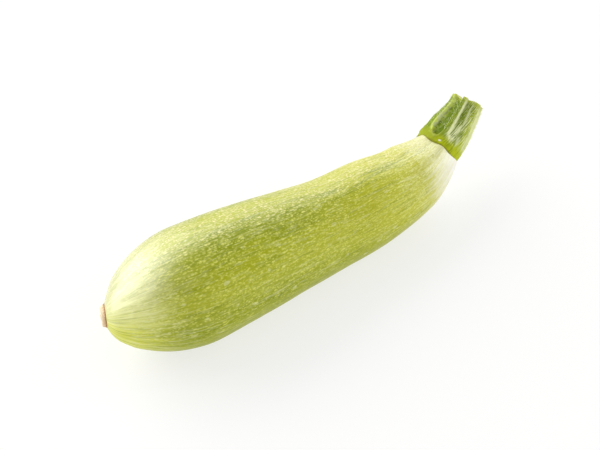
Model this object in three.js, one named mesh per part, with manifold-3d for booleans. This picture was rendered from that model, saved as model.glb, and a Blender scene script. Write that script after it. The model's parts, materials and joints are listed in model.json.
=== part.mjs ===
// A pale green courgette, as picked, lying on a table.
//
// Three pieces grew together: the fruit, the cut stem that it hung by, and the dry
// scar where its flower sat. All three follow one bent axis. The fruit lies along +X
// with its flower end at -X, and its neck turns aside and up towards the stem.
// Millimetres, +Z up, the origin under the middle of the whole courgette.

import * as THREE from "three";
import { mergeVertices } from "three/addons/utils/BufferGeometryUtils.js";
import Module from "manifold-3d";

const wasm = await Module();
wasm.setup();

// ---- Driving dimensions: millimetres and degrees ----

const FRUIT_LENGTH = 149.5; // flower end to stem seat, measured along the table
const BELLY_RADIUS = 22.5; // widest, about a quarter of the way from the flower end
const NECK_RADIUS = 14.2;
const TAPER_START = 23; // where the belly starts to narrow
const TAPER_END = 144; // where it has narrowed to the neck
const SWELL = 1.3; // the neck swells a little before it narrows
const SWELL_AT = 112;
const SWELL_SPREAD = 14;
const FLOWER_DOME = 36; // length of the rounded flower end
const DOME_POWER = 0.51; // 0.5 is an ellipse, and more brings it to more of a point
const SHOULDER_LENGTH = 16; // how far before the stem the shoulder starts to close
const SHOULDER_POWER = 1.5; // higher keeps the shoulder full for longer
const SEAT_RADIUS = 9.3; // the fruit where the stem joins it

const TIP_TURN = 14; // how far the flower end points aside
const TIP_LENGTH = 45;
const NOSE_LEAN = 11; // the rings round the scar lean aside as well
const NOSE_REACH = 0.9; // and stand out a little
const NOSE_LENGTH = 6; // how far back from the tip rings still do so
const NECK_TURN = 12; // how far the neck turns aside
const NECK_START = 82;
const NECK_RISE = 5.7; // how far the neck's axis rises off the table
const RISE_START = 77;
const RISE_POWER = 4; // higher keeps the rise close to the stem

const RIBS = 5; // broad, faint ribs along the fruit
const RIB_ANGLE = 104; // one of them, from the side axis towards the top
const RIB_RELIEF = 0.012; // share of the radius

const STEM_RIBS = 6;
const STEM_RIB_ANGLE = 119; // one of them, at the foot of the stem
const STEM_TWIST = 12; // how far back it has turned by the cut
const SHOULDER_RELIEF = 0.03; // lobes of the shoulder under the stem's ribs

const STEM_LENGTH = 22.8;
const STEM_BASE_RADIUS = 9.6;
const STEM_TOP_RADIUS = 7.1;
const STEM_TURN = 6; // the stem bends on aside
const STEM_LIFT = 17; // and up
const STEM_BEND_START = 135; // a bend that starts in the fruit's shoulder
const STEM_GROOVE = 1.6; // depth of the grooves between its ribs
const STEM_CREASE = 0.4; // depth of the fine crease along each rib
const SKIRT_HEIGHT = 2.6; // smooth foot under the ribs
const CUT_TILT = 3; // the knife went through slightly askew

const SCAR_RADIUS = 4.3;
const SCAR_PROUD = 1.5; // how far the scar stands out of the fruit
const SCAR_THICKNESS = 2.3;

const GAP = 0.3; // clearance between touching pieces
const FLAT_DEPTH = 0.55; // how much of the belly is pressed flat where it rests

const FRUIT_SIDES = 60;
const STEM_SIDES = 80;
const SCAR_SIDES = 30;

// ---- The rules that every piece follows ----

const rad = THREE.MathUtils.degToRad;
const clamp01 = (x) => THREE.MathUtils.clamp(x, 0, 1);
const smooth = (a, b, x) => THREE.MathUtils.smoothstep(x, a, b);
const lerp = THREE.MathUtils.lerp;

// Radius of the fruit with both ends left open.
function bodyRadius(s) {
  const taper = lerp(BELLY_RADIUS, NECK_RADIUS, smooth(TAPER_START, TAPER_END, s));
  return taper + SWELL * Math.exp(-(((s - SWELL_AT) / SWELL_SPREAD) ** 2));
}

// Radius of the fruit with its round flower end and its closing shoulder.
function fruitRadius(s) {
  const fromDome = clamp01(1 - s / FLOWER_DOME);
  const intoShoulder = clamp01((s - FRUIT_LENGTH) / SHOULDER_LENGTH + 1);
  const closing = (NECK_RADIUS - SEAT_RADIUS) * intoShoulder ** SHOULDER_POWER;
  return bodyRadius(s) * (1 - fromDome ** 2) ** DOME_POWER - closing;
}

// The bent axis. Its height keeps the underside of the fruit on the table as far as
// RISE_START, and beyond the fruit it runs on through the stem.
class BentAxis extends THREE.Curve {
  constructor(steps = 600) {
    super();
    this.step = (FRUIT_LENGTH + STEM_LENGTH) / steps;
    this.points = [new THREE.Vector3(0, 0, bodyRadius(0))];
    for (let i = 1; i <= steps; i += 1) {
      const last = this.points[i - 1];
      const ahead = this.direction((i - 0.5) * this.step);
      this.points.push(last.clone().addScaledVector(ahead, this.step));
    }
  }

  heading(s) {
    const tip = -TIP_TURN * (1 - smooth(0, TIP_LENGTH, s));
    const along = clamp01((s - NECK_START) / (FRUIT_LENGTH - NECK_START));
    return rad(tip + NECK_TURN * along ** 2 + STEM_TURN * this.stemBend(s));
  }

  // 0 before the bend towards the stem and 1 at the cut.
  stemBend(s) {
    const cut = FRUIT_LENGTH + STEM_LENGTH;
    return clamp01((s - STEM_BEND_START) / (cut - STEM_BEND_START));
  }

  // Rise of the axis for each millimetre along the table.
  slope(s) {
    const inFruit = Math.min(s, FRUIT_LENGTH);
    const span = FRUIT_LENGTH - RISE_START;
    const along = clamp01((inFruit - RISE_START) / span);
    const rise = (NECK_RISE * RISE_POWER * along ** (RISE_POWER - 1)) / span;
    const narrowing = bodyRadius(inFruit + 0.5) - bodyRadius(inFruit - 0.5);
    const lift = rad(STEM_LIFT * this.stemBend(s));
    return Math.tan(Math.atan(rise + narrowing) + lift);
  }

  // In the fruit a step is a millimetre along the table, in the stem one along itself.
  direction(s) {
    const heading = this.heading(s);
    const ahead = new THREE.Vector3(Math.cos(heading), Math.sin(heading), this.slope(s));
    return s > FRUIT_LENGTH ? ahead.normalize() : ahead;
  }

  getPoint(t, target = new THREE.Vector3()) {
    return this.at(t * (FRUIT_LENGTH + STEM_LENGTH), target);
  }

  at(s, target = new THREE.Vector3()) {
    const last = this.points.length - 1;
    const i = THREE.MathUtils.clamp(Math.floor(s / this.step), 0, last - 1);
    const share = s / this.step - i; // below 0 or past 1 runs straight on
    return target.lerpVectors(this.points[i], this.points[i + 1], share);
  }
}

const axis = new BentAxis();

// 1 on a rib and -1 between two, for that many ribs with one of them at that angle.
function ribWave(theta, count, angle) {
  return Math.cos(count * (theta - rad(angle)));
}

// A point at radius r and angle theta from the axis, where theta 0 is to the side
// and a quarter turn is up.
function onAxis(s, theta, r) {
  const ahead = axis.direction(s).normalize();
  const side = new THREE.Vector3(0, 0, 1).cross(ahead).normalize();
  const up = ahead.clone().cross(side);
  return axis
    .at(s)
    .addScaledVector(side, r * Math.cos(theta))
    .addScaledVector(up, r * Math.sin(theta));
}

// Turns a profile of [radius, s] points into a lathe, then moves each of its vertices
// to where the rule puts it. The rule gets s, theta and r and returns a new [s, r].
function bentLathe(profile, sides, rule) {
  const outline = profile.map(([r, s]) => new THREE.Vector2(r, s));
  const lathe = new THREE.LatheGeometry(outline, sides);
  const place = lathe.getAttribute("position");
  for (let i = 0; i < place.count; i += 1) {
    const x = place.getX(i);
    const z = place.getZ(i);
    const theta = Math.atan2(x, z);
    const [s, r] = rule(place.getY(i), theta, Math.hypot(x, z));
    place.setXYZ(i, ...onAxis(s, theta, r).toArray());
  }
  return lathe;
}

function toSolid(geometry) {
  const bare = geometry.clone();
  bare.deleteAttribute("normal");
  bare.deleteAttribute("uv");
  const merged = mergeVertices(bare, 1e-3);
  return new wasm.Manifold(
    new wasm.Mesh({
      numProp: 3,
      vertProperties: merged.getAttribute("position").array,
      triVerts: new Uint32Array(merged.index.array),
    }),
  );
}

function toGeometry(solid) {
  const mesh = solid.getMesh();
  const geometry = new THREE.BufferGeometry();
  const places = new THREE.BufferAttribute(mesh.vertProperties, mesh.numProp);
  geometry.setAttribute("position", places);
  geometry.setIndex(new THREE.BufferAttribute(mesh.triVerts, 1));
  geometry.computeVertexNormals();
  return geometry;
}

// Even steps from a to b, both included.
function steps(a, b, count) {
  return Array.from({ length: count + 1 }, (_, i) => lerp(a, b, i / count));
}

// ---- The fruit ----

// Where the round flower end is cut short for the scar's hollow.
const SCAR_SEAT = SCAR_RADIUS + GAP;
const SCAR_SHARE = (SCAR_SEAT / BELLY_RADIUS) ** (1 / DOME_POWER);
const SCAR_RIM = FLOWER_DOME * (1 - Math.sqrt(1 - SCAR_SHARE));
const SCAR_FLOOR = SCAR_RIM + SCAR_THICKNESS - SCAR_PROUD + GAP;
const SEAT_DISH = 0.8; // the stem's seat is slightly hollow

function fruitProfile() {
  const hollow = [
    [0, SCAR_FLOOR],
    [SCAR_SEAT - 0.2, SCAR_FLOOR],
  ];
  // Rings crowd together where the flower end turns fastest.
  const dome = steps(0, 1, 14).map((t) => lerp(SCAR_RIM, FLOWER_DOME, t * t));
  const body = steps(FLOWER_DOME, FRUIT_LENGTH - SHOULDER_LENGTH, 16).slice(1);
  const shoulder = steps(0, 1, 10).map(
    (t) => FRUIT_LENGTH - SHOULDER_LENGTH * (1 - t) ** 1.3,
  );
  const skin = [...dome, ...body, ...shoulder.slice(1)].map((s) => [fruitRadius(s), s]);
  const seat = [
    [SEAT_RADIUS * 0.6, FRUIT_LENGTH - SEAT_DISH * 0.7],
    [0, FRUIT_LENGTH - SEAT_DISH],
  ];
  return [...hollow, ...skin, ...seat];
}

// The ribs fade out round the scar's hollow and give way to lobes on the shoulder.
function fruitRelief(s, theta) {
  const rib = RIB_RELIEF * ribWave(theta, RIBS, RIB_ANGLE);
  const lobe = SHOULDER_RELIEF * ribWave(theta, STEM_RIBS, STEM_RIB_ANGLE);
  const relief = lerp(rib, lobe, smooth(NECK_START, FRUIT_LENGTH, s));
  return relief * smooth(0, FLOWER_DOME / 2, s);
}

// Where a point of a ring lies along the axis once the nose leans and stands out.
function noseShift(s, theta, r) {
  const lean = Math.tan(rad(NOSE_LEAN)) * r * Math.cos(theta);
  return s + (lean - NOSE_REACH) * (1 - smooth(0, NOSE_LENGTH, s));
}

function fruitSolid() {
  const skin = bentLathe(fruitProfile(), FRUIT_SIDES, (s, theta, r) => [
    noseShift(s, theta, r),
    r * (1 + fruitRelief(s, theta)),
  ]);
  return toSolid(skin);
}

// ---- The stem ----

function stemWave(h, theta) {
  const twist = (STEM_TWIST * Math.max(h, 0)) / STEM_LENGTH;
  return ribWave(theta, STEM_RIBS, STEM_RIB_ANGLE - twist);
}

function stemRadius(h) {
  const narrowing = smooth(STEM_LENGTH * 0.1, STEM_LENGTH * 0.95, h);
  return lerp(STEM_BASE_RADIUS, STEM_TOP_RADIUS, narrowing);
}

function stemProfile() {
  const foot = [0, 0.5, 1.2, 2, 2.8, 3.7, 4.8, 6.2];
  const shaft = steps(8, STEM_LENGTH - 1, 6);
  const heights = [...foot, ...shaft, STEM_LENGTH - 0.25];
  const skin = heights.map((h) => [stemRadius(h), h]);
  const seat = [
    [0, -SEAT_DISH],
    [SEAT_RADIUS * 0.6, -SEAT_DISH * 0.7],
  ];
  const cut = [
    [STEM_TOP_RADIUS * 0.93, STEM_LENGTH],
    [STEM_TOP_RADIUS * 0.5, STEM_LENGTH - 0.15],
    [STEM_TOP_RADIUS * 0.3, STEM_LENGTH - 0.7], // the soft pith shrinks back
    [0, STEM_LENGTH - 0.8],
  ];
  return [...seat, ...skin, ...cut];
}

function stemSolid() {
  const base = FRUIT_LENGTH + GAP;
  const tilt = Math.tan(rad(CUT_TILT));
  const shape = bentLathe(stemProfile(), STEM_SIDES, (h, theta, r) => {
    const reach = clamp01(r / stemRadius(Math.max(h, 0))); // 0 at the heart, 1 on the skin
    const deep = smooth(SKIRT_HEIGHT, SKIRT_HEIGHT * 2.6, h) * reach ** 3;
    const wave = stemWave(h, theta);
    const groove = STEM_GROOVE * deep * (1 - smooth(-0.55, 0.55, wave));
    const crease = STEM_CREASE * deep * clamp01(wave) ** 8;
    const foot = 1 - smooth(0, SKIRT_HEIGHT * 2, h);
    const lobe = SHOULDER_RELIEF * foot * wave;
    const askew = clamp01(h / STEM_LENGTH) ** 3 * tilt * r * Math.sin(theta);
    return [base + h + askew, r * (1 + lobe * reach) - groove - crease];
  });
  return toSolid(shape);
}

// ---- The flower scar ----

function scarSolid() {
  const outer = SCAR_RIM - SCAR_PROUD;
  const profile = [
    [0, outer],
    [SCAR_RADIUS * 0.55, outer + 0.15],
    [SCAR_RADIUS * 0.88, outer + 0.6],
    [SCAR_RADIUS, outer + 1.3],
    [SCAR_RADIUS * 0.95, outer + SCAR_THICKNESS],
    [0, outer + SCAR_THICKNESS],
  ];
  const pad = bentLathe(profile, SCAR_SIDES, (s, theta, r) => [
    noseShift(s, theta, r),
    r,
  ]);
  return toSolid(pad);
}

// ---- Setting the courgette down ----

// Lowers each piece so that the belly would dip FLAT_DEPTH below the table, then
// cuts the fruit off at the table. That leaves the small flat that it rests on.
function setDown({ fruit, stem, scar }) {
  const drop = -fruit.boundingBox().min[2] - FLAT_DEPTH;
  const table = new THREE.BoxGeometry(FRUIT_LENGTH * 2, FRUIT_LENGTH * 2, 20);
  table.translate(FRUIT_LENGTH / 2, 0, -10);
  return {
    fruit: fruit.translate([0, 0, drop]).subtract(toSolid(table)),
    stem: stem.translate([0, 0, drop]),
    scar: scar.translate([0, 0, drop]),
  };
}

function finish(color, roughness) {
  return new THREE.MeshStandardMaterial({ color, roughness, metalness: 0 });
}

function namedMesh(name, solid, material) {
  const mesh = new THREE.Mesh(toGeometry(solid), material);
  mesh.name = name;
  return mesh;
}

const solids = setDown({ fruit: fruitSolid(), stem: stemSolid(), scar: scarSolid() });

const courgette = new THREE.Group();
courgette.add(
  namedMesh("fruit", solids.fruit, finish(0xc3c86f, 0.42)),
  namedMesh("stem", solids.stem, finish(0x7f9a35, 0.55)),
  namedMesh("flower_scar", solids.scar, finish(0xdcb98c, 0.85)),
);

// The origin goes under the middle of the whole courgette.
const middle = new THREE.Box3().setFromObject(courgette).getCenter(new THREE.Vector3());
courgette.position.set(-middle.x, -middle.y, 0);

export default courgette;
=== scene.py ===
# %% [markdown]
# # A pale green courgette
#
# This lesson dresses a ready-made model of a courgette. The model is the frame: three
# plain solids, a fruit, a stem and a flower scar, at their real size. We load it,
# grow finer pieces in the same places, give each its skin, and light it.

# %% Load the frame
import json
import math
from types import SimpleNamespace

import bmesh
import bpy
import numpy as np
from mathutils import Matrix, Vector

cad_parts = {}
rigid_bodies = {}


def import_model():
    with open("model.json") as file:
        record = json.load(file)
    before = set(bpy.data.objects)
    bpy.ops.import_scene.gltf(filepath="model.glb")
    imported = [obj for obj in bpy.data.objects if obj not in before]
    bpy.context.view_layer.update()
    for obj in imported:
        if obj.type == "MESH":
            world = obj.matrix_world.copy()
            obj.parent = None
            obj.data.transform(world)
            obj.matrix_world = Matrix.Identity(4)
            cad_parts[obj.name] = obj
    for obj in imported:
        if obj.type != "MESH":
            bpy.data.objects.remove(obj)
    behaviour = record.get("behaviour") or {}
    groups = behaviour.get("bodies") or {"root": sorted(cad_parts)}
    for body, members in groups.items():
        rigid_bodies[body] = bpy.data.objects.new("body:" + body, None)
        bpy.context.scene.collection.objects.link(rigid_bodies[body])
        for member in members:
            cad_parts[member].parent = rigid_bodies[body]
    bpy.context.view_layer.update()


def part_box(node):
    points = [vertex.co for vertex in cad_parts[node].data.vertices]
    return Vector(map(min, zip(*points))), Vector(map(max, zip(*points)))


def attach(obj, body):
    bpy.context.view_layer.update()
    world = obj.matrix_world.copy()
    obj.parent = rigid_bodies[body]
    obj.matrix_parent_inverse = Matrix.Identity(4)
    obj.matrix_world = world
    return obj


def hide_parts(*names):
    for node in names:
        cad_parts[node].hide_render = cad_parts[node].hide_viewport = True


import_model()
MM = 0.001


def in_mm(values):
    """Metres as millimetres, rounded for printing."""
    return [round(float(value) / MM, 2) for value in values]


# %% [markdown]
# ## Sums on sockets
#
# A material and a Geometry Nodes tree are both graphs of sockets. Placing a Math node
# for every plus sign is slow to write and slower to read, so the class below wraps
# one socket and lets Python's own operators add those nodes. Every other node comes
# from one method, which takes the node's type, its settings and what goes into it.
# Vectors have nodes of their own, because a Math node keeps only one number of three.


# %% A socket that can stand in a formula
class Wire:
    """One output socket of a node tree."""

    def __init__(self, tree, socket):
        self.tree, self.socket = tree, socket

    def node(self, kind, settings=None, inputs=None, output=0):
        """Adds a node to the tree. Its inputs are plain values or other wires."""
        made = self.tree.nodes.new(kind)
        for name, value in (settings or {}).items():
            setattr(made, name, value)
        for key, value in (inputs or {}).items():
            if isinstance(value, Wire):
                self.tree.links.new(value.socket, made.inputs[key])
            else:
                made.inputs[key].default_value = value
        return Wire(self.tree, made.outputs[output])

    def other(self, output):
        """Another output of the node that this socket belongs to."""
        return Wire(self.tree, self.socket.node.outputs[output])

    def maths(self, operation, *values):
        return self.node("ShaderNodeMath", {"operation": operation}, dict(enumerate(values)))

    def vector(self, operation, *values):
        return self.node("ShaderNodeVectorMath", {"operation": operation}, dict(enumerate(values)))

    def scaled(self, amount):
        """This vector times a number."""
        return self.node("ShaderNodeVectorMath", {"operation": "SCALE"}, {0: self, "Scale": amount})

    def parts(self):
        """The three numbers of this vector."""
        x = self.node("ShaderNodeSeparateXYZ", {}, {0: self})
        return x, x.other("Y"), x.other("Z")

    def __add__(self, value):
        return self.maths("ADD", self, value)

    def __sub__(self, value):
        return self.maths("SUBTRACT", self, value)

    def __rsub__(self, value):
        return self.maths("SUBTRACT", value, self)

    def __mul__(self, value):
        return self.maths("MULTIPLY", self, value)

    def __truediv__(self, value):
        return self.maths("DIVIDE", self, value)

    def __rtruediv__(self, value):
        return self.maths("DIVIDE", value, self)

    def __pow__(self, value):
        return self.maths("POWER", self, value)

    __radd__ = __add__
    __rmul__ = __mul__


# %% [markdown]
# The shape rules further down are used twice: by Python, to lay out the bent axis, and
# by Geometry Nodes, to sweep the skin round it. So the few functions that they are
# made of work on plain numbers and on sockets alike.


# %% Functions for numbers and sockets alike
def smooth(low, high, x):
    """0 up to low, 1 from high on, and an S-shaped rise between them."""
    if isinstance(x, Wire):
        settings = {"interpolation_type": "SMOOTHSTEP"}
        return x.node("ShaderNodeMapRange", settings, {0: x, 1: low, 2: high})
    share = np.clip((x - low) / (high - low), 0.0, 1.0)
    return share * share * (3.0 - 2.0 * share)


def fade(low, high, x):
    """1 up to low, 0 from high on, and an S-shaped fall between them."""
    return 1.0 - smooth(low, high, x)


def share_of(low, high, x):
    """0 up to low, 1 from high on, and an even rise between them."""
    if isinstance(x, Wire):
        return x.node("ShaderNodeMapRange", {}, {0: x, 1: low, 2: high})
    return np.clip((x - low) / (high - low), 0.0, 1.0)


def cosine(angle):
    return angle.maths("COSINE", angle) if isinstance(angle, Wire) else np.cos(angle)


def sine(angle):
    return angle.maths("SINE", angle) if isinstance(angle, Wire) else np.sin(angle)


def bell(x):
    """A bump of height 1 at 0."""
    fall = x * x * -1.0
    return fall.maths("EXPONENT", fall) if isinstance(x, Wire) else np.exp(fall)


def between(a, b, share):
    return a + (b - a) * share


def toward(turn, degrees):
    """1 where a turn round the axis faces that way, and -1 on the far side."""
    return cosine(turn - math.radians(degrees))


# %% [markdown]
# Noise makes what grew by chance: lumps, streaks, fibres and blotches. It is a node, so
# these few work on sockets only. A pattern that is drawn out along the fruit is plain
# noise, read at places that have been squeezed lengthwise first.


# %% Noise, and vectors made and squeezed
def join(x, y, z):
    """A vector with those three numbers, the first of which is a wire."""
    return x.node("ShaderNodeCombineXYZ", {}, {0: x, 1: y, 2: z})


def spread(place, along, around):
    """A place divided by those lengths, so that a pattern is stretched by them."""
    return place.vector("MULTIPLY", place, (1 / along, 1 / around, 1 / around))


def noise(place, detail=2.0, roughness=0.5, distortion=0.0, scale=1.0):
    """Soft noise between 0 and 1."""
    inputs = {
        "Vector": place,
        "Scale": scale,
        "Detail": detail,
        "Roughness": roughness,
        "Distortion": distortion,
    }
    return place.node("ShaderNodeTexNoise", {"noise_dimensions": "3D"}, inputs)


def lumps(place, size, detail=2.0):
    """Soft noise between -1 and 1, with lumps of about that size."""
    return noise(place, detail, scale=1 / size) * 2.0 - 1.0


# %% [markdown]
# ## The courgette's own measures
#
# These are the measures that a grower or a cook could take from it. Distances along
# the fruit start at the flower end. Ways round it are in degrees: 0 faces the far
# side, 90 faces up and 180 faces the near side. The measures agree with the frame, and
# the only thing worked out from the frame is where the courgette lies.

# %% Measures
FRUIT_LENGTH = 149.5 * MM
SEAT_RADIUS = 9.3 * MM
FLOWER_DOME = 36 * MM
DOME_POWER, SHOULDER_POWER = 0.51, 1.5  # 0.5 is a round dome, 1 a straight slope
TAPER = (23 * MM, 144 * MM)
SHOULDER_LENGTH = 16 * MM
STEM_LENGTH = 22.8 * MM
SCAR_RADIUS = 4.3 * MM
SCAR_PROUD, SCAR_REACH = 1.5 * MM, 0.8 * MM
NOSE_LEAN, NOSE_REACH, NOSE_LENGTH = math.tan(math.radians(11)), 0.9 * MM, 6 * MM
RIBS, RIB_ANGLE = 5, math.radians(104)
STEM_RIBS, STEM_RIB_ANGLE = 6, math.radians(119)

fruit_size = SimpleNamespace(
    belly_radius=22.5 * MM,
    neck_radius=14.2 * MM,
    swell=1.3 * MM,
    swell_at=112 * MM,
    swell_spread=14 * MM,
    rib_relief=0.012,
    shoulder_relief=0.03,
)


def body_radius(s, size):
    """Radius of the fruit with both of its ends left open."""
    taper = between(size.belly_radius, size.neck_radius, smooth(*TAPER, s))
    return taper + size.swell * bell((s - size.swell_at) / size.swell_spread)


def fruit_radius(s, size):
    """Radius of the fruit with its round flower end and its closing shoulder."""
    from_dome = 1.0 - share_of(0.0, FLOWER_DOME, s)
    into_shoulder = share_of(FRUIT_LENGTH - SHOULDER_LENGTH, FRUIT_LENGTH, s)
    closing = (size.neck_radius - SEAT_RADIUS) * into_shoulder**SHOULDER_POWER
    return body_radius(s, size) * (1.0 - from_dome**2) ** DOME_POWER - closing


def nose_shift(turn, radius, reach):
    """How far a point lies back along the axis, because the nose leans and stands out."""
    lean = cosine(turn) * radius * NOSE_LEAN - NOSE_REACH
    return lean * fade(0.0, NOSE_LENGTH, reach)


print("belly and neck radius", in_mm(body_radius(np.array([30, 140]) * MM, fruit_size)), "mm")

# %% [markdown]
# ## The bent axis
#
# A courgette is a sweep: a round section that grows and shrinks along one bent line.
# The line is worked out here, in small steps, from how far it turns aside and how far
# it rises. It becomes a chain of vertices that Geometry Nodes can read as a curve.
# Each vertex also stores how far along the fruit it is, as an attribute named reach.

# %% Work out the axis
AXIS_STEP = 0.25 * MM
AXIS_LEAD = 4 * MM  # a straight lead-in before the flower end, for the scar
TIP_TURN, TIP_TURN_END = -14.0, 45 * MM  # degrees aside at the very tip
NECK_TURN, NECK_TURN_START = 12.0, 82 * MM  # degrees aside at the end of the neck
NECK_RISE, NECK_RISE_START = 5.7 * MM, 77 * MM
STEM_TURN, STEM_LIFT, STEM_BEND_START = 6.0, 17.0, 135 * MM  # degrees at the cut


def axis_points(size):
    """(reach of each point, its place) from before the flower end to the cut."""
    reach = np.arange(-AXIS_LEAD, FRUIT_LENGTH + STEM_LENGTH + AXIS_STEP, AXIS_STEP)
    middle = np.clip((reach[1:] + reach[:-1]) / 2, 0.0, None)
    in_fruit = np.minimum(middle, FRUIT_LENGTH)
    bend = share_of(STEM_BEND_START, FRUIT_LENGTH + STEM_LENGTH, middle)
    tip = TIP_TURN * fade(0.0, TIP_TURN_END, middle)
    neck = NECK_TURN * share_of(NECK_TURN_START, FRUIT_LENGTH, middle) ** 2
    heading = np.radians(tip + neck + STEM_TURN * bend)
    # The axis rises with the fourth power of the share, so its slope has the third.
    rising = share_of(NECK_RISE_START, FRUIT_LENGTH, in_fruit) ** 3
    rise = NECK_RISE * 4 * rising / (FRUIT_LENGTH - NECK_RISE_START)
    half = 0.5 * MM
    narrowing = body_radius(in_fruit + half, size) - body_radius(in_fruit - half, size)
    climb = np.arctan(rise + narrowing / (2 * half)) + np.radians(STEM_LIFT) * bend
    ahead = np.stack([np.cos(heading), np.sin(heading), np.tan(climb)], axis=1)
    in_stem = middle > FRUIT_LENGTH
    ahead[in_stem] /= np.linalg.norm(ahead[in_stem], axis=1)[:, None]
    ahead *= np.diff(reach)[:, None]
    place = np.concatenate([np.zeros((1, 3)), np.cumsum(ahead, axis=0)])
    start = place[np.searchsorted(reach, 0.0)]
    return reach, place - start + [0.0, 0.0, body_radius(0.0, size)]


axis_reach, axis_place = axis_points(fruit_size)
print("the axis has", len(axis_place), "points")

# %% [markdown]
# The frame says where the courgette lies: its middle is over the origin, and its belly
# is pressed flat where it touches the table. We measure our own sweep in Python, round
# a few dozen sections, and slide the axis until the ends, sides and top agree.

# %% Slide the axis to where the frame's fruit lies
RING_SIDES = 72
UPWARDS = (0.0, 0.0, 1.0)


def sections(reach, place, size):
    """Points of the plain fruit, a ring for each point of its axis."""
    fruit = (reach >= 0.0) & (reach <= FRUIT_LENGTH)
    tangent = np.gradient(place, axis=0)[fruit]
    tangent /= np.linalg.norm(tangent, axis=1)[:, None]
    side = np.cross(UPWARDS, tangent)
    side /= np.linalg.norm(side, axis=1)[:, None]
    up = np.cross(tangent, side)
    turn = np.linspace(0.0, math.tau, RING_SIDES, endpoint=False)[None, :, None]
    radius = fruit_radius(reach[fruit], size)[:, None, None]
    ring = side[:, None] * np.cos(turn) + up[:, None] * np.sin(turn)
    return place[fruit][:, None] + radius * ring


rough = sections(axis_reach, axis_place, fruit_size).reshape(-1, 3)
fruit_low, fruit_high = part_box("fruit")
shift = [
    fruit_high[0] - rough[:, 0].max(),
    (fruit_low[1] + fruit_high[1] - rough[:, 1].min() - rough[:, 1].max()) / 2,
    fruit_high[2] - rough[:, 2].max(),
]
axis_place = axis_place + shift
print("axis moved by", in_mm(shift), "mm")


# %% Turn the axis into a chain of vertices
def chain(name, place, reach):
    mesh = bpy.data.meshes.new(name)
    mesh.from_pydata(place.tolist(), [(i, i + 1) for i in range(len(place) - 1)], [])
    mesh.attributes.new("reach", "FLOAT", "POINT").data.foreach_set("value", reach)
    made = bpy.data.objects.new(name, mesh)
    bpy.context.scene.collection.objects.link(made)
    return made


axis = chain("axis", axis_place, axis_reach)
axis_steps = np.linalg.norm(np.diff(axis_place, axis=0), axis=1)
axis_lengths = np.concatenate([[0.0], np.cumsum(axis_steps)])


def axis_share(reach):
    """How far along the axis's true length a reach lies, from 0 to 1."""
    return float(np.interp(reach, axis_reach, axis_lengths) / axis_lengths[-1])


print("the stem starts at", round(axis_share(FRUIT_LENGTH), 3), "of the axis")

# %% [markdown]
# ## Geometry Nodes trees
#
# A Geometry Nodes tree is a small program that Blender runs on an object. Ours are
# built here, node by node. Each has named inputs for its sizes, and the result is
# kept as a plain mesh, which is easier to check and to export than a live tree.


# %% Open, close and run a tree
def open_tree(name, inputs):
    """A tree with named inputs: (the inputs' identifiers, what comes in, its sizes)."""
    tree = bpy.data.node_groups.new(name, "GeometryNodeTree")
    face = tree.interface
    face.new_socket("Geometry", in_out="INPUT", socket_type="NodeSocketGeometry")
    face.new_socket("Geometry", in_out="OUTPUT", socket_type="NodeSocketGeometry")
    ids = {}
    for label in inputs:
        made = face.new_socket(label, in_out="INPUT", socket_type="NodeSocketFloat")
        ids[label] = made.identifier
    entry = tree.nodes.new("NodeGroupInput")
    size = SimpleNamespace(**{label: Wire(tree, entry.outputs[label]) for label in inputs})
    return ids, Wire(tree, entry.outputs["Geometry"]), size


def close_tree(shape, material):
    """Turns copies into real faces, gives them their material and sends them out."""
    shape = shape.node("GeometryNodeRealizeInstances", {}, {0: shape})
    shape = shape.node("GeometryNodeSetMaterial", {}, {"Geometry": shape, "Material": material})
    last = shape.tree.nodes.new("NodeGroupOutput")
    shape.tree.links.new(shape.socket, last.inputs[0])
    return shape.tree


def face_outwards(mesh):
    """Turns a closed mesh so that its faces point out."""
    shape = bmesh.new()
    shape.from_mesh(mesh)
    if shape.calc_volume(signed=True) < 0:
        bmesh.ops.reverse_faces(shape, faces=shape.faces)
    shape.to_mesh(mesh)
    shape.free()


def grow(name, carrier, tree, ids, values):
    """Runs a tree on the carrier object and keeps the result as a plain mesh."""
    modifier = carrier.modifiers.new(name, "NODES")
    modifier.node_group = tree
    for label, value in values.items():
        modifier[ids[label]] = value
    graph = bpy.context.evaluated_depsgraph_get()
    mesh = bpy.data.meshes.new_from_object(carrier.evaluated_get(graph), depsgraph=graph)
    mesh.name = name
    carrier.modifiers.remove(modifier)
    made = bpy.data.objects.new(name, mesh)
    bpy.context.scene.collection.objects.link(made)
    face_outwards(mesh)
    print(name, "has", len(mesh.polygons), "faces")
    return made


# %% [markdown]
# ## Sweeping a skin round the axis
#
# The fruit, the stem and the scar are made the same way, so one builder makes all
# three trees. It starts from a flat grid. One way across the grid becomes the way
# along the axis, and the other becomes the way round. For each vertex the tree samples
# the axis, works out a side and an up direction there, and moves the vertex out by the
# radius that the piece's own rule gives. Two attributes stay on the mesh for the
# materials: grown, the place on a straightened courgette, and mark, three masks.


# %% The sweep builder
SEAM_GAP = 1e-6  # vertices closer than this are one


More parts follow.
